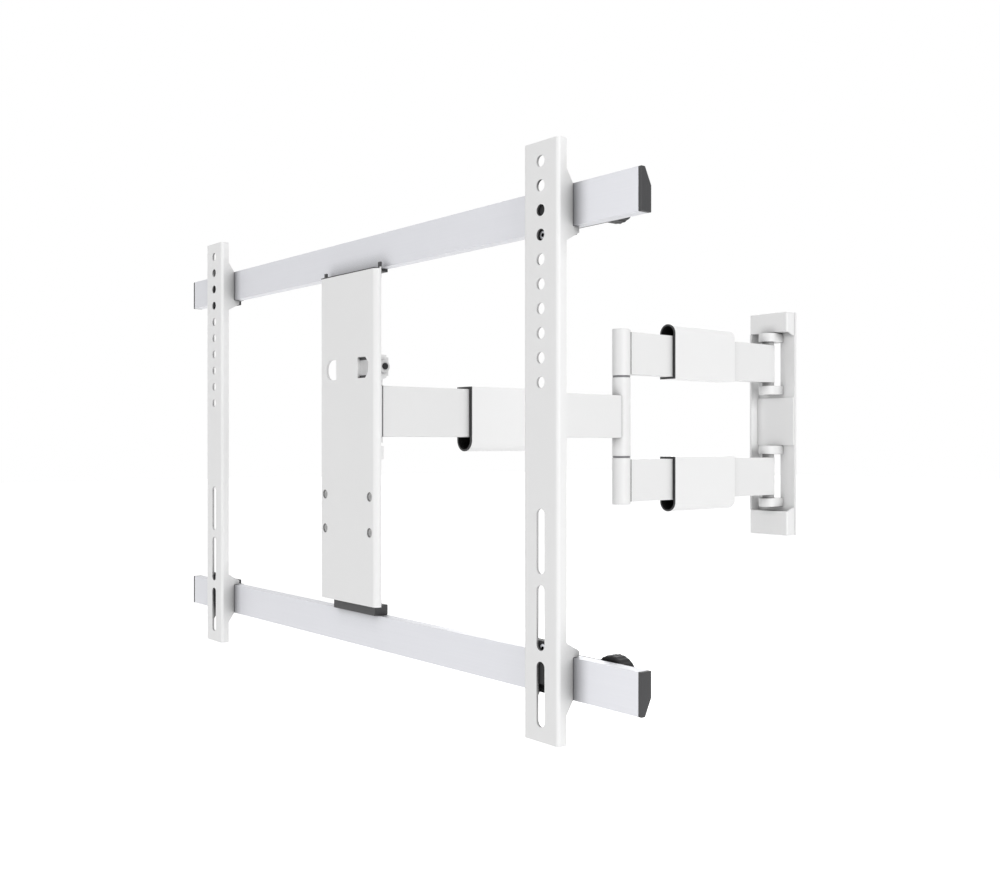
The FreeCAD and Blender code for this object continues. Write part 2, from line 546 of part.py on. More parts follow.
def bar_bracket(name, sign, shelf):
    """A bent steel bracket from the tilt channel to the back of a crossbar, and its black saddle."""
    def level(height, thick):
        """The low end of a slab at a height from the head's middle, on this bar's side."""
        return f"head_level + {height}" if sign > 0 else f"head_level - {height} - {thick}"
    thick = "bracket_gauge"
    wide = "2 * bracket_half"
    depth = f"({BAR_BACK} + bracket_gap + bracket_gauge - {BACK_Y})"
    plate = box(("-bracket_half", BACK_Y, level(f"({shelf} - bracket_plate)", "bracket_plate")),
                (wide, "channel_gauge", "bracket_plate"))
    ledge = box(("-bracket_half", BACK_Y, level(f"({shelf} - {thick})", thick)), (wide, depth, thick))
    upright = box(("-bracket_half", f"{BAR_BACK} + bracket_gap", level(f"({shelf} - {thick})", "bracket_rise")),
                  (wide, "bracket_gauge", "bracket_rise"))
    centre = f"head_level + {sign} * (bar_inner + screw_up)"
    holes = [rod((f"{side}screw_side", BAR_BACK, centre), "thread_radius",
                 "bracket_gap + bracket_gauge + 1", Y_AXIS) for side in ("", "-")]
    piece(f"{name}_bar_bracket", cut(fuse(plate, ledge, upright), *holes))
    saddle_height = f"(bar_inner - {shelf} - slip)"
    saddle = box(("-saddle_half", f"{BACK_Y} + saddle_back", level(shelf, saddle_height)),
                 ("2 * saddle_half", f"{BAR_BACK} - {BACK_Y} - saddle_back", saddle_height))
    piece(f"{name}_bar_saddle", fuse(saddle, *head_strip()) if sign > 0 else saddle)
    screws = []
    for side in ("", "-"):
        shank = rod((f"{side}screw_side", f"{BAR_BACK} + running", centre), "thread_radius",
                    "bracket_gap + bracket_gauge", Y_AXIS)
        head = rod((f"{side}screw_side", f"{BAR_BACK} + bracket_gap + bracket_gauge", centre),
                   "screw_head_radius", "screw_head", Y_AXIS)
        screws.append(fuse(shank, head))
    piece(f"{name}_bracket_screws", group(*screws))


def head_strip():
    """A strip on the head plate's top edge, with a cap over each of its two ears."""
    top = "head_level + head_top"
    strip = box(("-strip_half", FACE_Y, f"{top} + running"),
                ("2 * strip_half", f"{BACK_Y} + saddle_back + 1 - {FACE_Y}", "strip_gauge"))
    front = f"({FACE_Y} + head_bend)"
    post = box(("strip_half - ear_cap_wall", front, f"{top} + running"),
               ("ear_cap_wall", "ear_cap_depth", "ear_rise + ear_cap_rise"))
    lid = box(("strip_half - ear_cap_wall", front, f"{top} + ear_rise + slip"),
              ("head_width / 2 - strip_half + ear_cap_wall", "ear_cap_depth", "ear_cap_rise + running - slip"))
    cap = fuse(post, lid)
    return [strip, cap, mirror(cap, (1, 0, 0))]


# ---------------------------------------------------------------- rails, clamps and knobs

def rail():
    """The right-hand rail: a channel with a row of holes, a row of slots and a hook at each crossbar."""
    half = "rail_width / 2"
    low = "(head_level - rail_low)"
    high = "(head_level + rail_high)"
    body = pad("rail_channel", "XY_Plane", low, [
        (f"rail_x - {half}", RAIL_Y), (f"rail_x + {half}", RAIL_Y),
        (f"rail_x + {half}", f"{RAIL_Y} + rail_depth"), (f"rail_x - {half}", f"{RAIL_Y} + rail_depth")],
        "rail_low + rail_high")
    round_front(body, "rail_bend")
    hollow = box((f"rail_x - {half} + rail_gauge", f"{RAIL_Y} + rail_gauge", f"{low} - 1"),
                 ("rail_width - 2 * rail_gauge", "rail_depth", "rail_low + rail_high + 2"))
    holes = [rod(("rail_x", RAIL_Y, f"{high} - first_hole - {i} * hole_pitch"), "hole_radius", "rail_gauge",
                 Y_AXIS) for i in range(HOLE_COUNT)]
    straight = "(slot_length - 2 * hole_radius)"
    for i in range(SLOT_COUNT):
        first = f"{low} + last_slot + {i} * slot_pitch + hole_radius"
        holes.append(box(("rail_x - hole_radius", RAIL_Y, first), ("2 * hole_radius", "rail_gauge", straight)))
        for level in (first, f"{first} + {straight}"):
            holes.append(rod(("rail_x", RAIL_Y, level), "hole_radius", "rail_gauge", Y_AXIS))
    back = f"({RAIL_Y} + rail_depth)"
    hooks = []
    for sign in ("", "-"):
        def z(text):
            return f"head_level + {sign}({text})"
        corners = [(f"{back} - 1", z("bar_inner + bar_height + hook_out")),
                   (back, z("bar_inner + bar_height + hook_out")),
                   (f"{BAR_Y} - hook_gap", z("bar_inner + bar_height")),
                   (f"{BAR_Y} - hook_gap", z("bar_inner - hook_gap")),
                   (f"{BAR_Y} + lip_reach", z("bar_inner - hook_gap")),
                   (f"{BAR_Y} + lip_reach", z("bar_inner - hook_gap - lip_height")),
                   (back, z("bar_inner - hook_in")), (f"{back} - 1", z("bar_inner - hook_in"))]
        for x in (f"rail_x + {half} - rail_gauge", f"rail_x - {half}"):
            hooks.append(pad("hook", "YZ_Plane", x, corners, "rail_gauge"))
    return fuse(cut(body, hollow, *holes), *hooks)


def clamp(rise):
    """A plate behind the crossbar, a block inside the rail, and a tab under the bar that joins them."""
    inner = "head_level + bar_inner"
    back = f"({BAR_BACK} + hook_gap)"
    front = f"({RAIL_Y} + rail_gauge + slip)"
    half = "(rail_width / 2 - rail_gauge - slip)"
    tab_foot = f"{inner} - hook_gap - clamp_tab"
    plate = box(("rail_x - clamp_inboard", back, f"{inner} + clamp_lift"),
                ("clamp_inboard + clamp_outboard", "clamp_gauge", "clamp_rise"))
    riser = box(("rail_x - tab_half", back, tab_foot),
                ("2 * tab_half", "clamp_gauge", "hook_gap + clamp_tab + clamp_rise / 2"))
    tab = box(("rail_x - tab_half", front, tab_foot),
              ("2 * tab_half", f"{back} + clamp_gauge - {front}", "clamp_tab"))
    block = box((f"rail_x - {half}", front, f"{inner} - block_low"),
                (f"2 * {half}", "rail_depth - rail_gauge - slip", "block_low + block_high"))
    stud_bore = rod(("rail_x + knob_out", back, f"{inner} + bar_height / 2 + {rise}"),
                    "stud_radius + running", "clamp_gauge", Y_AXIS)
    screw_bore = rod(("rail_x", front, f"{inner} - rail_screw_low"), "rail_screw_radius + running",
                     "rail_screw_length + running", Y_AXIS)
    return cut(fuse(plate, riser, tab, block), stud_bore, screw_bore)


def rail_screw():
    """The screw that shows through a hole of the rail, set in the clamp's block."""
    return rod(("rail_x", f"{RAIL_Y} + rail_gauge + slip + running", "head_level + bar_inner - rail_screw_low"),
               "rail_screw_radius", "rail_screw_length - running", Y_AXIS)


def knob(rise):
    """A thumb knob whose stud goes through the clamp to the bar's back."""
    level = f"head_level + bar_inner + bar_height / 2 + {rise}"
    front = f"({BAR_BACK} + hook_gap + clamp_gauge + knob_gap)"
    grip = rod(("rail_x + knob_out", front, level), "knob_radius", "knob_height", Y_AXIS)
    stud = rod(("rail_x + knob_out", f"{BAR_BACK} + slip", level), "stud_radius",
               f"{front} - {BAR_BACK} + 1", Y_AXIS)
    return fuse(grip, stud)


def rails():
    right = rail()
    piece("right_rail", right)
    piece("left_rail", mirror(right, (1, 0, 0)))
    upper_screw = rail_screw()
    screws = group(upper_screw, mirror(upper_screw, (0, 0, 1), "head_level"))
    piece("right_rail_screws", screws)
    piece("left_rail_screws", mirror(screws, (1, 0, 0)))
    for level, rise in (("upper", "knob_rise"), ("lower", "(-knob_rise)")):
        for kind, source in (("rail_clamp", clamp(rise)), ("lock_knob", knob(rise))):
            if level == "lower":
                source = mirror(source, (0, 0, 1), "head_level")
            piece(f"{level}_right_{kind}", source)
            piece(f"{level}_left_{kind}", mirror(source, (1, 0, 0)))


wall_plate()
end_cap("top_end_cap", CAP_LOW, "(plate_height / 2)", "")
end_cap("bottom_end_cap", "(-plate_height / 2)", CAP_HIGH, "-")
middle_cover()
for side, name in (("", "upper"), ("-", "lower")):
    hinge_lugs(name, side)
    rear_arm(name, side)
elbow()
front_arm()
cable_sleeve("upper", f"({ELBOW_Y} + rear_sleeve_start)", rear_level(""), 1)
cable_sleeve("lower", f"({ELBOW_Y} + rear_sleeve_start)", rear_level("-"), -1)
cable_sleeve("front", f"({SWIVEL_Y} + front_sleeve_start)", "arm_level", -1)
swivel_yoke()
tilt_channel()
head_plate()
window_trim()
crossbars()
bar_bracket("upper", 1, "upper_shelf")
bar_bracket("lower", -1, "lower_shelf")
rails()
doc.recompute()

for thing in doc.Objects:
    if {"Invalid", "Error"} & set(thing.State):
        raise SystemExit(f"{thing.Name} ({thing.Label}) failed: {thing.State}")
for made in PIECES:
    if made.Shape.isNull() or not made.Shape.isValid():
        raise SystemExit(f"{made.Label} is not a valid solid")
os.makedirs("parts", exist_ok=True)
for made in PIECES:
    made.Shape.exportStep(f"parts/{made.Label}.step")
    print(made.Label, "solids", len(made.Shape.Solids), "volume", round(made.Shape.Volume))
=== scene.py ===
import json
import math

import bmesh
import bpy
from mathutils import Matrix, Vector


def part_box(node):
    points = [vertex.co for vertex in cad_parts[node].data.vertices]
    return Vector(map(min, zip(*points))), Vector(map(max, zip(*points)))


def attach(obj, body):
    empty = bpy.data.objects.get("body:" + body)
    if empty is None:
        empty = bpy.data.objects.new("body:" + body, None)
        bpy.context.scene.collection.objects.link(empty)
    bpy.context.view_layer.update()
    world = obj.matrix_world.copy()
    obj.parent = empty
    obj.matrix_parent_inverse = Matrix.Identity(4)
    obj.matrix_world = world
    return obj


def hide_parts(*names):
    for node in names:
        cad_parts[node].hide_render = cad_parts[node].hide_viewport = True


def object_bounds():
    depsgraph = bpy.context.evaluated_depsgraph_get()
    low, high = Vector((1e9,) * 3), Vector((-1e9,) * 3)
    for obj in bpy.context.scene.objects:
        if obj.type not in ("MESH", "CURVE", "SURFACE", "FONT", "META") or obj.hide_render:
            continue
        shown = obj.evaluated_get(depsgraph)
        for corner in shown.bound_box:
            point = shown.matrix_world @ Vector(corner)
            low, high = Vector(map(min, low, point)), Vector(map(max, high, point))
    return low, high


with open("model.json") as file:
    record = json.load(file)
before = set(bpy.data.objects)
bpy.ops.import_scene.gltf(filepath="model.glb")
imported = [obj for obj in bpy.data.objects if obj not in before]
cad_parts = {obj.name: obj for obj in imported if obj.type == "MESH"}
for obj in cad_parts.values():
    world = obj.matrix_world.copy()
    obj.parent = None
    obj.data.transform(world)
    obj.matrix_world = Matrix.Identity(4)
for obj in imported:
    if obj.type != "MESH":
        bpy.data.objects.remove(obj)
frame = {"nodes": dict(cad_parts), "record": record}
cadLow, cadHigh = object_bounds()  # the CAD box, before any looks
slotOf = {part["node"]: part["material_slot"] for part in frame["record"]["subparts"]}
bodyOf = {}
for body, nodes in frame["record"]["behaviour"]["bodies"].items():
    for node in nodes:
        bodyOf[node] = body
print("frame loaded:", len(bodyOf), "nodes")

scene = bpy.context.scene
scene.view_settings.view_transform = "Standard"

making = {"weld": 1e-6, "near": 0.0001, "straight": 0.999, "flatAngle": 1, "sharpAngle": 42, "edgeSteps": 2}
noise = {"fineDetail": 2, "broadDetail": 3, "lineDetail": 2, "lineStretch": (0.012, 1, 1),
         "shadeSamples": 8}


def newGroup(name, inputs, outputs):
    group = bpy.data.node_groups.new(name, "ShaderNodeTree")
    for label, kind, value in inputs:
        socket = group.interface.new_socket(label, in_out="INPUT", socket_type=kind)
        socket.default_value = value
    for label, kind in outputs:
        group.interface.new_socket(label, in_out="OUTPUT", socket_type=kind)
    return group, group.nodes.new("NodeGroupInput"), group.nodes.new("NodeGroupOutput")


def node(tree, kind, links=(), **settings):  # links are (output, input name) pairs
    made = tree.nodes.new(kind)
    for key, value in settings.items():
        setattr(made, key, value)
    for source, target in links:
        tree.links.new(source, made.inputs[target])
    return made


def buildGrain():  # fine bumps over a broad, faint change of tone
    group, given, out = newGroup("surfaceGrain", [
        ("Colour", "NodeSocketColor", (0.8, 0.8, 0.8, 1)), ("Fine scale", "NodeSocketFloat", 900),
        ("Broad scale", "NodeSocketFloat", 9), ("Tone change", "NodeSocketFloat", 0.03),
        ("Roughness", "NodeSocketFloat", 0.4), ("Roughness change", "NodeSocketFloat", 0.06)],
        [("Colour", "NodeSocketColor"), ("Roughness", "NodeSocketFloat"), ("Height", "NodeSocketFloat")])
    where = node(group, "ShaderNodeTexCoord")
    fine = node(group, "ShaderNodeTexNoise", [(where.outputs["Object"], "Vector"),
                                              (given.outputs["Fine scale"], "Scale")])
    fine.inputs["Detail"].default_value = noise["fineDetail"]
    broad = node(group, "ShaderNodeTexNoise", [(where.outputs["Object"], "Vector"),
                                               (given.outputs["Broad scale"], "Scale")])
    broad.inputs["Detail"].default_value = noise["broadDetail"]
    centred = node(group, "ShaderNodeMath", [(broad.outputs["Fac"], 0)], operation="SUBTRACT")
    centred.inputs[1].default_value = 0.5
    tone = node(group, "ShaderNodeMath", [(centred.outputs[0], 0), (given.outputs["Tone change"], 1)],
                operation="MULTIPLY")
    lift = node(group, "ShaderNodeMath", [(tone.outputs[0], 0)], operation="ADD")
    lift.inputs[1].default_value = 1
    colour = node(group, "ShaderNodeVectorMath", [(given.outputs["Colour"], 0)], operation="SCALE")
    group.links.new(lift.outputs[0], colour.inputs["Scale"])
    change = node(group, "ShaderNodeMath", [(centred.outputs[0], 0),
                                            (given.outputs["Roughness change"], 1)], operation="MULTIPLY")
    rough = node(group, "ShaderNodeMath", [(change.outputs[0], 0), (given.outputs["Roughness"], 1)],
                 operation="ADD")
    group.links.new(colour.outputs[0], out.inputs["Colour"])
    group.links.new(rough.outputs[0], out.inputs["Roughness"])
    group.links.new(fine.outputs["Fac"], out.inputs["Height"])
    return group


def buildPaintedShade():  # painted shade: the colour darkens where surfaces meet, in place of contact shadow
    group, given, out = newGroup("paintedCornerShade", [
        ("Colour", "NodeSocketColor", (0.8, 0.8, 0.8, 1)), ("Amount", "NodeSocketFloat", 0.2),
        ("Reach", "NodeSocketFloat", 0.01)], [("Colour", "NodeSocketColor")])
    shade = node(group, "ShaderNodeAmbientOcclusion", [(given.outputs["Reach"], "Distance")],
                 samples=noise["shadeSamples"])
    exposed = node(group, "ShaderNodeMath", [(shade.outputs["AO"], 1)], operation="SUBTRACT")
    exposed.inputs[0].default_value = 1
    amount = node(group, "ShaderNodeMath", [(exposed.outputs[0], 0), (given.outputs["Amount"], 1)],
                  operation="MULTIPLY")
    keep = node(group, "ShaderNodeMath", [(amount.outputs[0], 1)], operation="SUBTRACT", use_clamp=True)
    keep.inputs[0].default_value = 1
    colour = node(group, "ShaderNodeVectorMath", [(given.outputs["Colour"], 0)], operation="SCALE")
    group.links.new(keep.outputs[0], colour.inputs["Scale"])
    group.links.new(colour.outputs[0], out.inputs["Colour"])
    return group


def buildBrushing():  # long fine lines along X, as on drawn aluminium
    group, given, out = newGroup("drawnLines", [
        ("Colour", "NodeSocketColor", (0.8, 0.8, 0.8, 1)), ("Density", "NodeSocketFloat", 900),
        ("Contrast", "NodeSocketFloat", 0.05)],
        [("Colour", "NodeSocketColor"), ("Height", "NodeSocketFloat")])
    where = node(group, "ShaderNodeTexCoord")
    stretch = node(group, "ShaderNodeMapping", [(where.outputs["Object"], "Vector")])
    stretch.inputs["Scale"].default_value = noise["lineStretch"]
    lines = node(group, "ShaderNodeTexNoise", [(stretch.outputs[0], "Vector"),
                                               (given.outputs["Density"], "Scale")])
    lines.inputs["Detail"].default_value = noise["lineDetail"]
    centred = node(group, "ShaderNodeMath", [(lines.outputs["Fac"], 0)], operation="SUBTRACT")
    centred.inputs[1].default_value = 0.5
    tone = node(group, "ShaderNodeMath", [(centred.outputs[0], 0), (given.outputs["Contrast"], 1)],
                operation="MULTIPLY")
    lift = node(group, "ShaderNodeMath", [(tone.outputs[0], 0)], operation="ADD")
    lift.inputs[1].default_value = 1
    colour = node(group, "ShaderNodeVectorMath", [(given.outputs["Colour"], 0)], operation="SCALE")
    group.links.new(lift.outputs[0], colour.inputs["Scale"])
    group.links.new(colour.outputs[0], out.inputs["Colour"])
    group.links.new(lines.outputs["Fac"], out.inputs["Height"])
    return group


grainGroup = buildGrain()
paintedShadeGroup = buildPaintedShade()
brushingGroup = buildBrushing()

# each finish's crevice amount and reach set how dark and how far its painted corner shade goes
finishes = {
    "white_steel": {"colour": (0.82, 0.82, 0.82), "roughness": 0.42, "fine": 1100, "tone": 0.02,
                    "bump": 0.05, "depth": 0.00008, "paintedShade": 1.0, "reach": 0.013},
    "white_plastic": {"colour": (0.86, 0.86, 0.86), "roughness": 0.34, "fine": 1700, "tone": 0.015,
                      "bump": 0.04, "depth": 0.00005, "paintedShade": 0.9, "reach": 0.013},
    # the bar's painted shade reaches far, darkening it near the rail hooks
    "anodised_bar": {"colour": (0.71, 0.715, 0.75), "roughness": 0.38, "metallic": 0.3, "fine": 2400,
                     "tone": 0.02, "bump": 0.04, "depth": 0.00004, "paintedShade": 1.25, "reach": 0.017,
                     "lines": 0.04},
    "zinc_steel": {"colour": (0.56, 0.57, 0.60), "roughness": 0.3, "metallic": 1.0, "fine": 1500,
                   "tone": 0.12, "bump": 0.06, "depth": 0.00005, "paintedShade": 1.3, "reach": 0.005},
    "grey_plastic": {"colour": (0.22, 0.22, 0.23), "roughness": 0.45, "fine": 1900, "tone": 0.06,
                     "bump": 0.06, "depth": 0.00006, "paintedShade": 0.4, "reach": 0.008},
    "black_plastic": {"colour": (0.026, 0.026, 0.028), "roughness": 0.46, "fine": 1900, "tone": 0.2,
                      "bump": 0.14, "depth": 0.00009, "paintedShade": 0.9, "reach": 0.006},
    # near-black with little gloss: painted shade deep inside the cable ducts
    "painted_duct_shade": {"colour": (0.006, 0.006, 0.006), "roughness": 0.8, "fine": 1900, "tone": 0.2,
                   "bump": 0.14, "depth": 0.00009, "paintedShade": 0.9, "reach": 0.01, "specular": 0.12},
}
variants = {  # name: (the finish it starts from, what differs)
    # strong, wide painted shade: the rail flange darkens beside the crossbars, as if shadowed by them
    "rail_steel": ("white_steel", {"paintedShade": 1.35, "reach": 0.034}),
    "plate_steel": ("white_steel", {"paintedShade": 0.3, "reach": 0.01}),
    "pale_bush": ("grey_plastic", {"colour": (0.5, 0.5, 0.5), "paintedShade": 0.8}),
    "painted_screw": ("white_steel", {"colour": (0.5, 0.5, 0.5), "paintedShade": 0.45, "reach": 0.003}),
    # strong painted shade darkens the lock nuts' sockets
    "lock_paint": ("white_steel", {"colour": (0.62, 0.62, 0.62), "paintedShade": 1.4, "reach": 0.005}),
    # black plastic, darkened further: painted shade in the knobs' and clamps' recesses
    "black_and_painted_shade": ("black_plastic", {"colour": (0.013, 0.013, 0.014), "specular": 0.25}),
}
for name, (base, changes) in variants.items():
    finishes[name] = {**finishes[base], **changes}

levels, sides = ("upper", "lower"), ("right", "left")
finishOf = {  # pieces whose finish differs from their slot's usual one
    "wall_plate": "plate_steel", "middle_cover": "plate_steel", "head_screws": "painted_screw",
    # the lock bolt is black, painting the shade inside the nuts' sockets
    "tilt_lock_nuts": "lock_paint", "tilt_lock_bolt": "black_and_painted_shade",
}
for side in sides:
    finishOf[f"{side}_rail"] = "rail_steel"
for level in levels:
    finishOf[f"{level}_wall_bushes"] = "pale_bush"
    for side in sides:
        finishOf[f"{level}_{side}_lock_knob"] = "black_and_painted_shade"
        finishOf[f"{level}_{side}_rail_clamp"] = "black_and_painted_shade"


def buildFinish(name, look):
    material = bpy.data.materials.new(name)
    material.use_nodes = True
    tree = material.node_tree
    surface = tree.nodes["Principled BSDF"]
    grain = node(tree, "ShaderNodeGroup", node_tree=grainGroup)
    first, height = grain, grain.outputs["Height"]
    if "lines" in look:
        first = node(tree, "ShaderNodeGroup", node_tree=brushingGroup)
        first.inputs["Contrast"].default_value = look["lines"]
        tree.links.new(first.outputs["Colour"], grain.inputs["Colour"])
        height = first.outputs["Height"]
    first.inputs["Colour"].default_value = (*look["colour"], 1)
    grain.inputs["Fine scale"].default_value = look["fine"]
    grain.inputs["Tone change"].default_value = look["tone"]
    grain.inputs["Roughness"].default_value = look["roughness"]
    # painted shade in corners, creases and recesses, darkening the base colour
    paintedShade = node(tree, "ShaderNodeGroup", node_tree=paintedShadeGroup)
    paintedShade.inputs["Amount"].default_value = look["paintedShade"]
    paintedShade.inputs["Reach"].default_value = look["reach"]
    tree.links.new(grain.outputs["Colour"], paintedShade.inputs["Colour"])
    tree.links.new(paintedShade.outputs["Colour"], surface.inputs["Base Color"])
    tree.links.new(grain.outputs["Roughness"], surface.inputs["Roughness"])
    bump = node(tree, "ShaderNodeBump", [(height, "Height")])
    bump.inputs["Strength"].default_value = look["bump"]
    bump.inputs["Distance"].default_value = look["depth"]
    tree.links.new(bump.outputs[0], surface.inputs["Normal"])
    surface.inputs["Metallic"].default_value = look.get("metallic", 0)
    surface.inputs["Specular IOR Level"].default_value = look.get("specular", 0.5)
    return material


materials = {name: buildFinish(name, look) for name, look in finishes.items()}
print("finishes built:", len(materials))


def addPiece(name, bm, nodes, smoothBelow=40, replaces=True, finish=None):
    limit = math.radians(smoothBelow)
    for edge in bm.edges:
        edge.smooth = len(edge.link_faces) != 2 or edge.calc_face_angle(0) < limit
    for face in bm.faces:
        face.smooth = True
    mesh = bpy.data.meshes.new(name)
    bm.to_mesh(mesh)
    bm.free()
    piece = bpy.data.objects.new(name, mesh)
    scene.collection.objects.link(piece)
    slot = slotOf[nodes[0]]
    mesh.materials.append(materials[finish or finishOf.get(nodes[0], slot)])
    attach(piece, bodyOf[nodes[0]])
    if replaces:
        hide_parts(*nodes)
    even = piece.modifiers.new("even normals", "WEIGHTED_NORMAL")
    even.keep_sharp = True
    return piece


def runsAlong(edge, axis):
    step = edge.verts[1].co - edge.verts[0].co
    return step.length > making["weld"] and abs(step[axis]) / step.length > making["straight"]


def softenNode(nodeName, radius, long=None):  # the CAD shape with its sharp edges rounded
    bm = bmesh.new()
    bm.from_mesh(frame["nodes"][nodeName].data)
    bmesh.ops.remove_doubles(bm, verts=bm.verts, dist=making["weld"])
    flat = math.radians(making["flatAngle"])
    bmesh.ops.dissolve_limit(bm, angle_limit=flat, verts=bm.verts, edges=bm.edges)
    if long:  # a larger radius on the outer edges along one axis, as on a rolled tube
        low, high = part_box(nodeName)
        chosen = [edge for edge in bm.edges if runsAlong(edge, long["axis"])
                  and edge.calc_length() > long["over"] and long["pick"](edge, low, high)]
        if chosen:
            bmesh.ops.bevel(bm, geom=chosen, offset=long["radius"], segments=long["segments"], profile=0.5,
                            affect="EDGES", material=-1, clamp_overlap=True)
    limit = math.radians(making["sharpAngle"])
    sharp = [edge for edge in bm.edges if len(edge.link_faces) == 2 and edge.calc_face_angle(0) > limit]
    bmesh.ops.bevel(bm, geom=sharp, offset=radius, segments=making["edgeSteps"], profile=0.5,
                    affect="EDGES", material=-1, clamp_overlap=True)
    return addPiece(nodeName + "_shell", bm, [nodeName])


def outerCorner(edge, low, high):  # a tube's long corner
    mid = (edge.verts[0].co + edge.verts[1].co) / 2
    near = making["near"]
    return min(mid.x - low.x, high.x - mid.x) < near and min(mid.z - low.z, high.z - mid.z) < near


def farCorner(edge, low, high):  # the edge across a cover's wall-side end
    mid = (edge.verts[0].co + edge.verts[1].co) / 2
    near = making["near"]
    return high.y - mid.y < near and min(mid.z - low.z, high.z - mid.z) < near


tubeEdge = {"axis": 1, "over": 0.05, "radius": 0.0024, "segments": 5, "pick": outerCorner}
coverEdge = {"axis": 0, "over": 0.004, "radius": 0.0045, "segments": 5, "pick": farCorner}
softEdge = {"arm": 0.0004, "cover": 0.0005, "bar": 0.0003, "turned": 0.0003}

steelPieces = {
    "wall_plate": 0.0006, "upper_hinge_lugs": 0.0009, "lower_hinge_lugs": 0.0009, "swivel_yoke": 0.0004,
    "tilt_channel": 0.0004, "upper_bar_bracket": 0.0004, "lower_bar_bracket": 0.0004,
    "upper_elbow_barrel": 0.0007, "lower_elbow_barrel": 0.0007, "front_elbow_barrel": 0.0007,
    "head_barrel": 0.0005, "head_plate": 0.0004, "right_rail": 0.0004, "left_rail": 0.0004,
}
for nodeName, radius in steelPieces.items():
    softenNode(nodeName, radius)
for nodeName in ("upper_rear_arm", "lower_rear_arm", "front_arm"):
    softenNode(nodeName, softEdge["arm"], long=tubeEdge)
print("steel pieces softened")

plasticPieces = {
    "top_end_cap": 0.0012, "bottom_end_cap": 0.0012, "middle_cover": 0.0008,
    "upper_cover_bezel": 0.0003, "lower_cover_bezel": 0.0003, "front_cover_bezel": 0.0003,
    "window_trim": 0.0002,
    "upper_bar_saddle": 0.0003, "lower_bar_saddle": 0.0006,
    "upper_right_bar_cap": 0.0006, "upper_left_bar_cap": 0.0006, "lower_right_bar_cap": 0.0006,
    "lower_left_bar_cap": 0.0006, "upper_right_rail_clamp": 0.0006, "upper_left_rail_clamp": 0.0006,
    "lower_right_rail_clamp": 0.0006, "lower_left_rail_clamp": 0.0006,
}
for nodeName, radius in plasticPieces.items():
    softenNode(nodeName, radius)
for nodeName in ("upper_cable_cover", "lower_cable_cover", "front_cable_cover"):
    softenNode(nodeName, softEdge["cover"], long=coverEdge)
for nodeName in ("upper_crossbar", "lower_crossbar"):
    softenNode(nodeName, softEdge["bar"])
for nodeName in ("upper_wall_bushes", "lower_wall_bushes", "elbow_bushes", "swivel_bushes", "elbow_pin",
                 "elbow_plugs", "upper_wall_pin", "lower_wall_pin", "swivel_pin", "tilt_pivots",
                 "tilt_lock_bolt"):
    softenNode(nodeName, softEdge["turned"])
print("plastic and turned pieces softened")


def turnedTo(axis):  # stands a shape built along Z on another axis
    return Vector((0, 0, 1)).rotation_difference(Vector(axis)).to_matrix().to_4x4()


def lockKnob(nodeName):  # ribbed rim, dished face with a boss, and its stud
    look = {"steps": 144, "ribs": 24, "ribDepth": 0.0004, "grip": 0.012, "round": 0.0012, "rim": 0.0032,
            "dish": 0.0026, "boss": 0.0055, "bossDrop": 0.0008, "stud": 0.003, "dishSlope": 0.001,
            "bossSlope": 0.0006, "corner": 0.0004, "cornerSteps": 2, "ribBand": 0.0005}
    low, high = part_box(nodeName)
    centre = (low + high) / 2
    rim = (high.x - low.x) / 2
    grip = look["grip"]
    tail = high.y - low.y - grip
    curve, well, floorAt = look["round"], rim - look["rim"], grip - look["dish"]
    outline = [(0, -tail), (look["stud"], -tail), (look["stud"], 0), (rim - curve, 0), (rim, curve),
               (rim, grip - curve), (rim - curve, grip), (well, grip), (well - look["dishSlope"], floorAt),
               (look["boss"] + look["bossSlope"], floorAt), (look["boss"], grip - look["bossDrop"]),
               (0, grip - look["bossDrop"])]
    bm = bmesh.new()
    verts = [bm.verts.new((x, 0, z)) for x, z in outline]
    edges = [bm.edges.new(pair) for pair in zip(verts, verts[1:])]
    corners = [v for v in verts[2:-1] if v.co.x > look["stud"] + making["near"]]
    bmesh.ops.bevel(bm, geom=corners, offset=look["corner"], segments=look["cornerSteps"], profile=0.5,
                    affect="VERTICES", material=-1)
    bmesh.ops.spin(bm, geom=bm.verts[:] + bm.edges[:], cent=(0, 0, 0), axis=(0, 0, 1), angle=math.tau,
                   steps=look["steps"], use_merge=True)
    bmesh.ops.remove_doubles(bm, verts=bm.verts, dist=making["weld"])
    for v in bm.verts:
        reach = math.hypot(v.co.x, v.co.y)
        if reach > rim - look["ribBand"]:  # ribs: the rim sinks a little between them
            wave = 0.5 - 0.5 * math.cos(look["ribs"] * math.atan2(v.co.y, v.co.x))
            sink = 1 - look["ribDepth"] / rim * wave
            v.co.x *= sink
            v.co.y *= sink
    bmesh.ops.recalc_face_normals(bm, faces=bm.faces)
    start = Vector((centre.x, high.y - grip, centre.z))
    bmesh.ops.transform(bm, matrix=Matrix.Translation(start) @ turnedTo((0, 1, 0)), verts=bm.verts)
    addPiece(nodeName + "_moulded", bm, [nodeName])


for level in levels:
    for side in sides:
        lockKnob(f"{level}_{side}_lock_knob")


def looseParts(nodeName):  # the middle of each separate solid
    bm = bmesh.new()
    bm.from_mesh(frame["nodes"][nodeName].data)
    bmesh.ops.remove_doubles(bm, verts=bm.verts, dist=making["weld"])
    middles = []
    left = set(bm.verts)
    while left:
        stack = [left.pop()]
        island = list(stack)
        while stack:
            for edge in stack.pop().link_edges:
                for v in edge.verts:
                    if v in left:
                        left.remove(v)
                        stack.append(v)
                        island.append(v)
        middles.append(sum((v.co for v in island), Vector()) / len(island))
    bm.free()
    return middles


headMaking = {"steps": 48, "domeSteps": 4, "sides": 6, "weld": 1e-7}


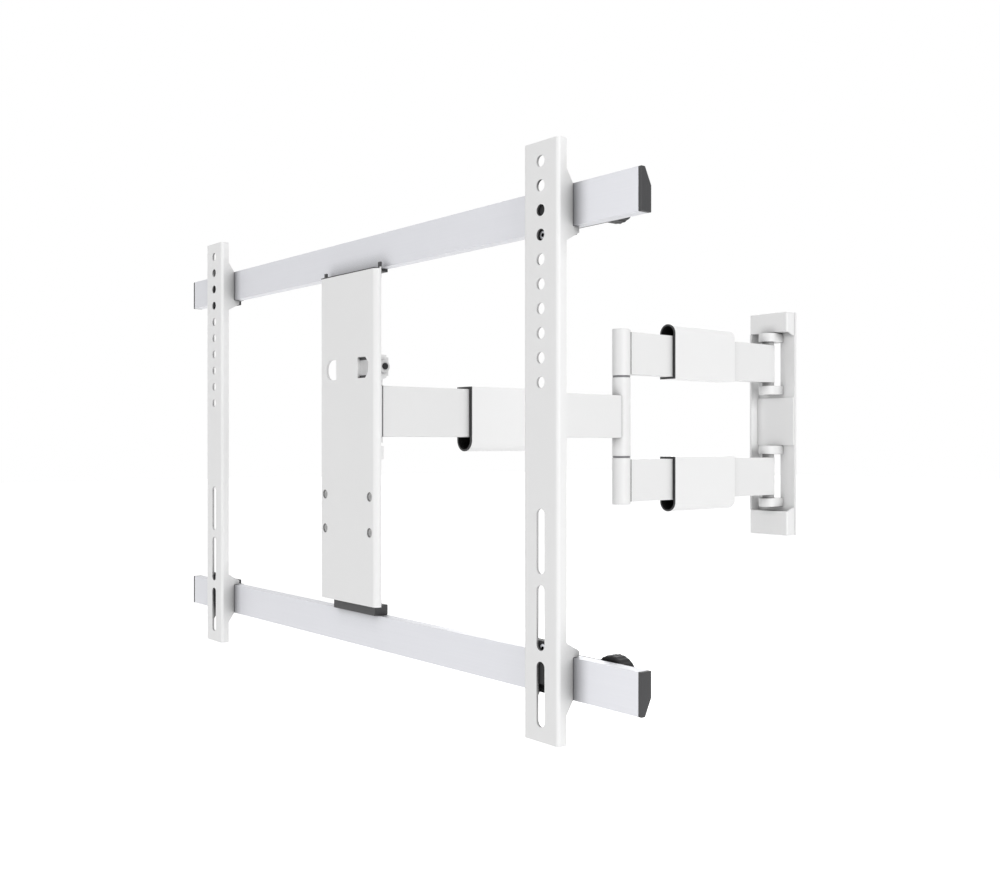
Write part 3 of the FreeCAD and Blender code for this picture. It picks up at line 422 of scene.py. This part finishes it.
def screwHead(bm, look, top, axis):  # a domed head with a hexagon socket
    radius, socket, recess, deep = look["radius"], look["socket"], look["recess"], look["deep"]
    outline = [(0, -recess), (socket, -recess), (socket, 0), (radius, 0), (radius, -deep), (0, -deep)]
    already = set(bm.verts)
    line = [bm.verts.new((x, 0, z)) for x, z in outline]
    for pair in zip(line, line[1:]):
        bm.edges.new(pair)
    bmesh.ops.bevel(bm, geom=[line[3]], offset=look["dome"], segments=headMaking["domeSteps"], profile=0.5,
                    affect="VERTICES", material=-1)  # the head's outer top corner
    section = [v for v in bm.verts if v not in already]
    lines = list({e for v in section for e in v.link_edges})
    bmesh.ops.spin(bm, geom=section + lines, cent=(0, 0, 0), axis=(0, 0, 1), angle=math.tau,
                   steps=headMaking["steps"], use_merge=True)
    seam = [v for v in bm.verts if v not in already]
    bmesh.ops.remove_doubles(bm, verts=seam, dist=headMaking["weld"])
    made = [v for v in bm.verts if v not in already]
    side = math.tau / headMaking["sides"]  # the socket's corners lie on its radius
    for v in made:
        if making["weld"] < math.hypot(v.co.x, v.co.y) < socket + making["weld"]:
            pull = math.cos(side / 2) / math.cos(math.atan2(v.co.y, v.co.x) % side - side / 2)
            v.co.x *= pull
            v.co.y *= pull
    bmesh.ops.transform(bm, matrix=Matrix.Translation(top) @ turnedTo(axis), verts=made)


def socketScrews(nodeName, look, axis, pieceName):  # one head for each solid, facing along Y
    low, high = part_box(nodeName)
    front = low.y if axis < 0 else high.y
    bm = bmesh.new()
    for middle in looseParts(nodeName):
        screwHead(bm, look, (middle.x, front, middle.z), (0, axis, 0))
    bmesh.ops.recalc_face_normals(bm, faces=bm.faces)
    addPiece(pieceName, bm, [nodeName])


def lockNuts(nodeName):  # a head at each end of the tilt lock bolt
    low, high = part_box(nodeName)
    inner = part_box("tilt_channel")[1].x
    look = {"radius": (high.z - low.z) / 2, "deep": high.x - inner, "dome": 0.0014, "socket": 0.0026,
            "recess": 0.0028}
    bm = bmesh.new()
    for side in (1, -1):
        screwHead(bm, look, (side * high.x, (low.y + high.y) / 2, (low.z + high.z) / 2), (side, 0, 0))
    bmesh.ops.recalc_face_normals(bm, faces=bm.faces)
    addPiece("tilt_lock_socket_heads", bm, [nodeName])


headScrew = {"radius": 0.0041, "deep": 0.0030, "dome": 0.0005, "socket": 0.0016, "recess": 0.0004}
bracketScrew = {"radius": 0.0045, "deep": 0.0026, "dome": 0.0009, "socket": 0.0020, "recess": 0.0014}
railScrew = {"radius": 0.0036, "deep": 0.0045, "dome": 0.0007, "socket": 0.0017, "recess": 0.0018}
lockNuts("tilt_lock_nuts")
socketScrews("head_screws", headScrew, -1, "head_socket_screws")
for level in levels:
    socketScrews(f"{level}_bracket_screws", bracketScrew, 1, f"{level}_bracket_socket_screws")
for side in sides:
    socketScrews(f"{side}_rail_screws", railScrew, -1, f"{side}_rail_socket_screws")


def buildDuctShadeSheet(level):  # a thin black tube of D section inside a cover, a dark sheet painting the shade deep in the duct
    look = {"outer": 0.0115, "radius": 0.0094, "drop": 0.0024, "wall": 0.0004, "inset": 0.0003,
            "steps": 64}
    low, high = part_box(f"{level}_cable_cover")
    up = 1 if level == "upper" else -1
    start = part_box(f"{level}_cover_bezel")[0].y + look["inset"]
    centre = high.z - look["outer"] if up > 0 else low.z + look["outer"]
    bm = bmesh.new()
    bmesh.ops.create_circle(bm, cap_ends=False, segments=look["steps"], radius=look["radius"])
    bmesh.ops.delete(bm, geom=[v for v in bm.verts if v.co.y < -making["weld"]], context="VERTS")
    ends = [v for v in bm.verts if len(v.link_edges) == 1]
    feet = bmesh.ops.extrude_vert_indiv(bm, verts=ends)["verts"]
    bmesh.ops.translate(bm, verts=feet, vec=(0, -look["drop"], 0))
    bm.edges.new(feet)
    swept = bmesh.ops.extrude_edge_only(bm, edges=bm.edges[:])["geom"]
    bmesh.ops.translate(bm, verts=[g for g in swept if isinstance(g, bmesh.types.BMVert)],
                        vec=(0, 0, high.y - look["inset"] - start))
    stand = Matrix(((1, 0, 0, 0), (0, 0, 1, start), (0, up, 0, centre), (0, 0, 0, 1)))
    bmesh.ops.transform(bm, matrix=stand, verts=bm.verts)
    bmesh.ops.recalc_face_normals(bm, faces=bm.faces)
    piece = addPiece(f"{level}_duct_shade_sheet", bm, [f"{level}_cover_bezel"], replaces=False,
                     finish="painted_duct_shade")
    shell = piece.modifiers.new("wall", "SOLIDIFY")
    shell.thickness = look["wall"]
    shell.offset = -1


for level in ("upper", "lower", "front"):
    buildDuctShadeSheet(level)
print("knobs, nuts and screws built")


cameraPlace = {"place": (0.8670, -1.1983, -0.0253), "pitch": 90, "turn": 50.07, "lens": 39.53, "sensor": 36}
camera = bpy.data.objects.new("camera", bpy.data.cameras.new("camera"))
scene.collection.objects.link(camera)
camera.location = cameraPlace["place"]
camera.rotation_euler = (math.radians(cameraPlace["pitch"]), 0, math.radians(cameraPlace["turn"]))
camera.data.lens = cameraPlace["lens"]
camera.data.sensor_width = cameraPlace["sensor"]
scene.camera = camera

lampAim = Vector((0, -0.4, 0))
lamps = {
    "key": {"place": (4.4, -1.2, 1.0), "size": 3.0, "power": 112},
    "front": {"place": (-0.9, -4.8, 0.2), "size": 3.6, "power": 66},
    "top": {"place": (0.4, -0.6, 4.4), "size": 3.0, "power": 55},
    "back": {"place": (-3.0, 3.6, 1.4), "size": 3.0, "power": 60},
}
for name, look in lamps.items():
    data = bpy.data.lights.new(name, "AREA")
    data.energy = look["power"]
    data.size = look["size"]
    lamp = bpy.data.objects.new(name, data)
    scene.collection.objects.link(lamp)
    lamp.location = look["place"]
    aim = lampAim - Vector(look["place"])
    lamp.rotation_euler = aim.to_track_quat("-Z", "Y").to_euler()


def seenAsWhite(tree, otherStrength, seenStrength=1):  # brighter to camera, gloss and glass rays
    path = node(tree, "ShaderNodeLightPath")
    seen = node(tree, "ShaderNodeMath", [(path.outputs["Is Camera Ray"], 0),
                                         (path.outputs["Is Glossy Ray"], 1)], operation="MAXIMUM")
    both = node(tree, "ShaderNodeMath", [(seen.outputs[0], 0), (path.outputs["Is Transmission Ray"], 1)],
                operation="MAXIMUM")
    span = node(tree, "ShaderNodeMapRange", [(both.outputs[0], "Value")])
    span.inputs["To Min"].default_value = otherStrength
    span.inputs["To Max"].default_value = seenStrength
    return span.outputs["Result"]


world = bpy.data.worlds.new("studio")
world.use_nodes = True
scene.world = world
sky = world.node_tree.nodes["Background"]
skyLook = {"colour": (1, 1, 1, 1), "otherRays": 0.35}
sky.inputs["Color"].default_value = skyLook["colour"]
world.node_tree.links.new(seenAsWhite(world.node_tree, skyLook["otherRays"]), sky.inputs["Strength"])

floorLook = {"drop": 0.85, "size": 30, "colour": (0.9, 0.9, 0.9, 1), "roughness": 0.9, "glow": 0.74}
bm = bmesh.new()
bmesh.ops.create_grid(bm, x_segments=1, y_segments=1, size=floorLook["size"])
bmesh.ops.translate(bm, verts=bm.verts, vec=(0, 0, cadLow.z - floorLook["drop"]))
floorMesh = bpy.data.meshes.new("floor")
bm.to_mesh(floorMesh)
bm.free()
floor = bpy.data.objects.new("floor", floorMesh)
scene.collection.objects.link(floor)
floorFinish = bpy.data.materials.new("paleFloor")
floorFinish.use_nodes = True
floorSurface = floorFinish.node_tree.nodes["Principled BSDF"]
floorSurface.inputs["Base Color"].default_value = floorLook["colour"]
floorSurface.inputs["Roughness"].default_value = floorLook["roughness"]
floorSurface.inputs["Emission Color"].default_value = (1, 1, 1, 1)
glow = seenAsWhite(floorFinish.node_tree, 0, floorLook["glow"])
floorFinish.node_tree.links.new(glow, floorSurface.inputs["Emission Strength"])
floorMesh.materials.append(floorFinish)
print("camera, lamps and floor set")
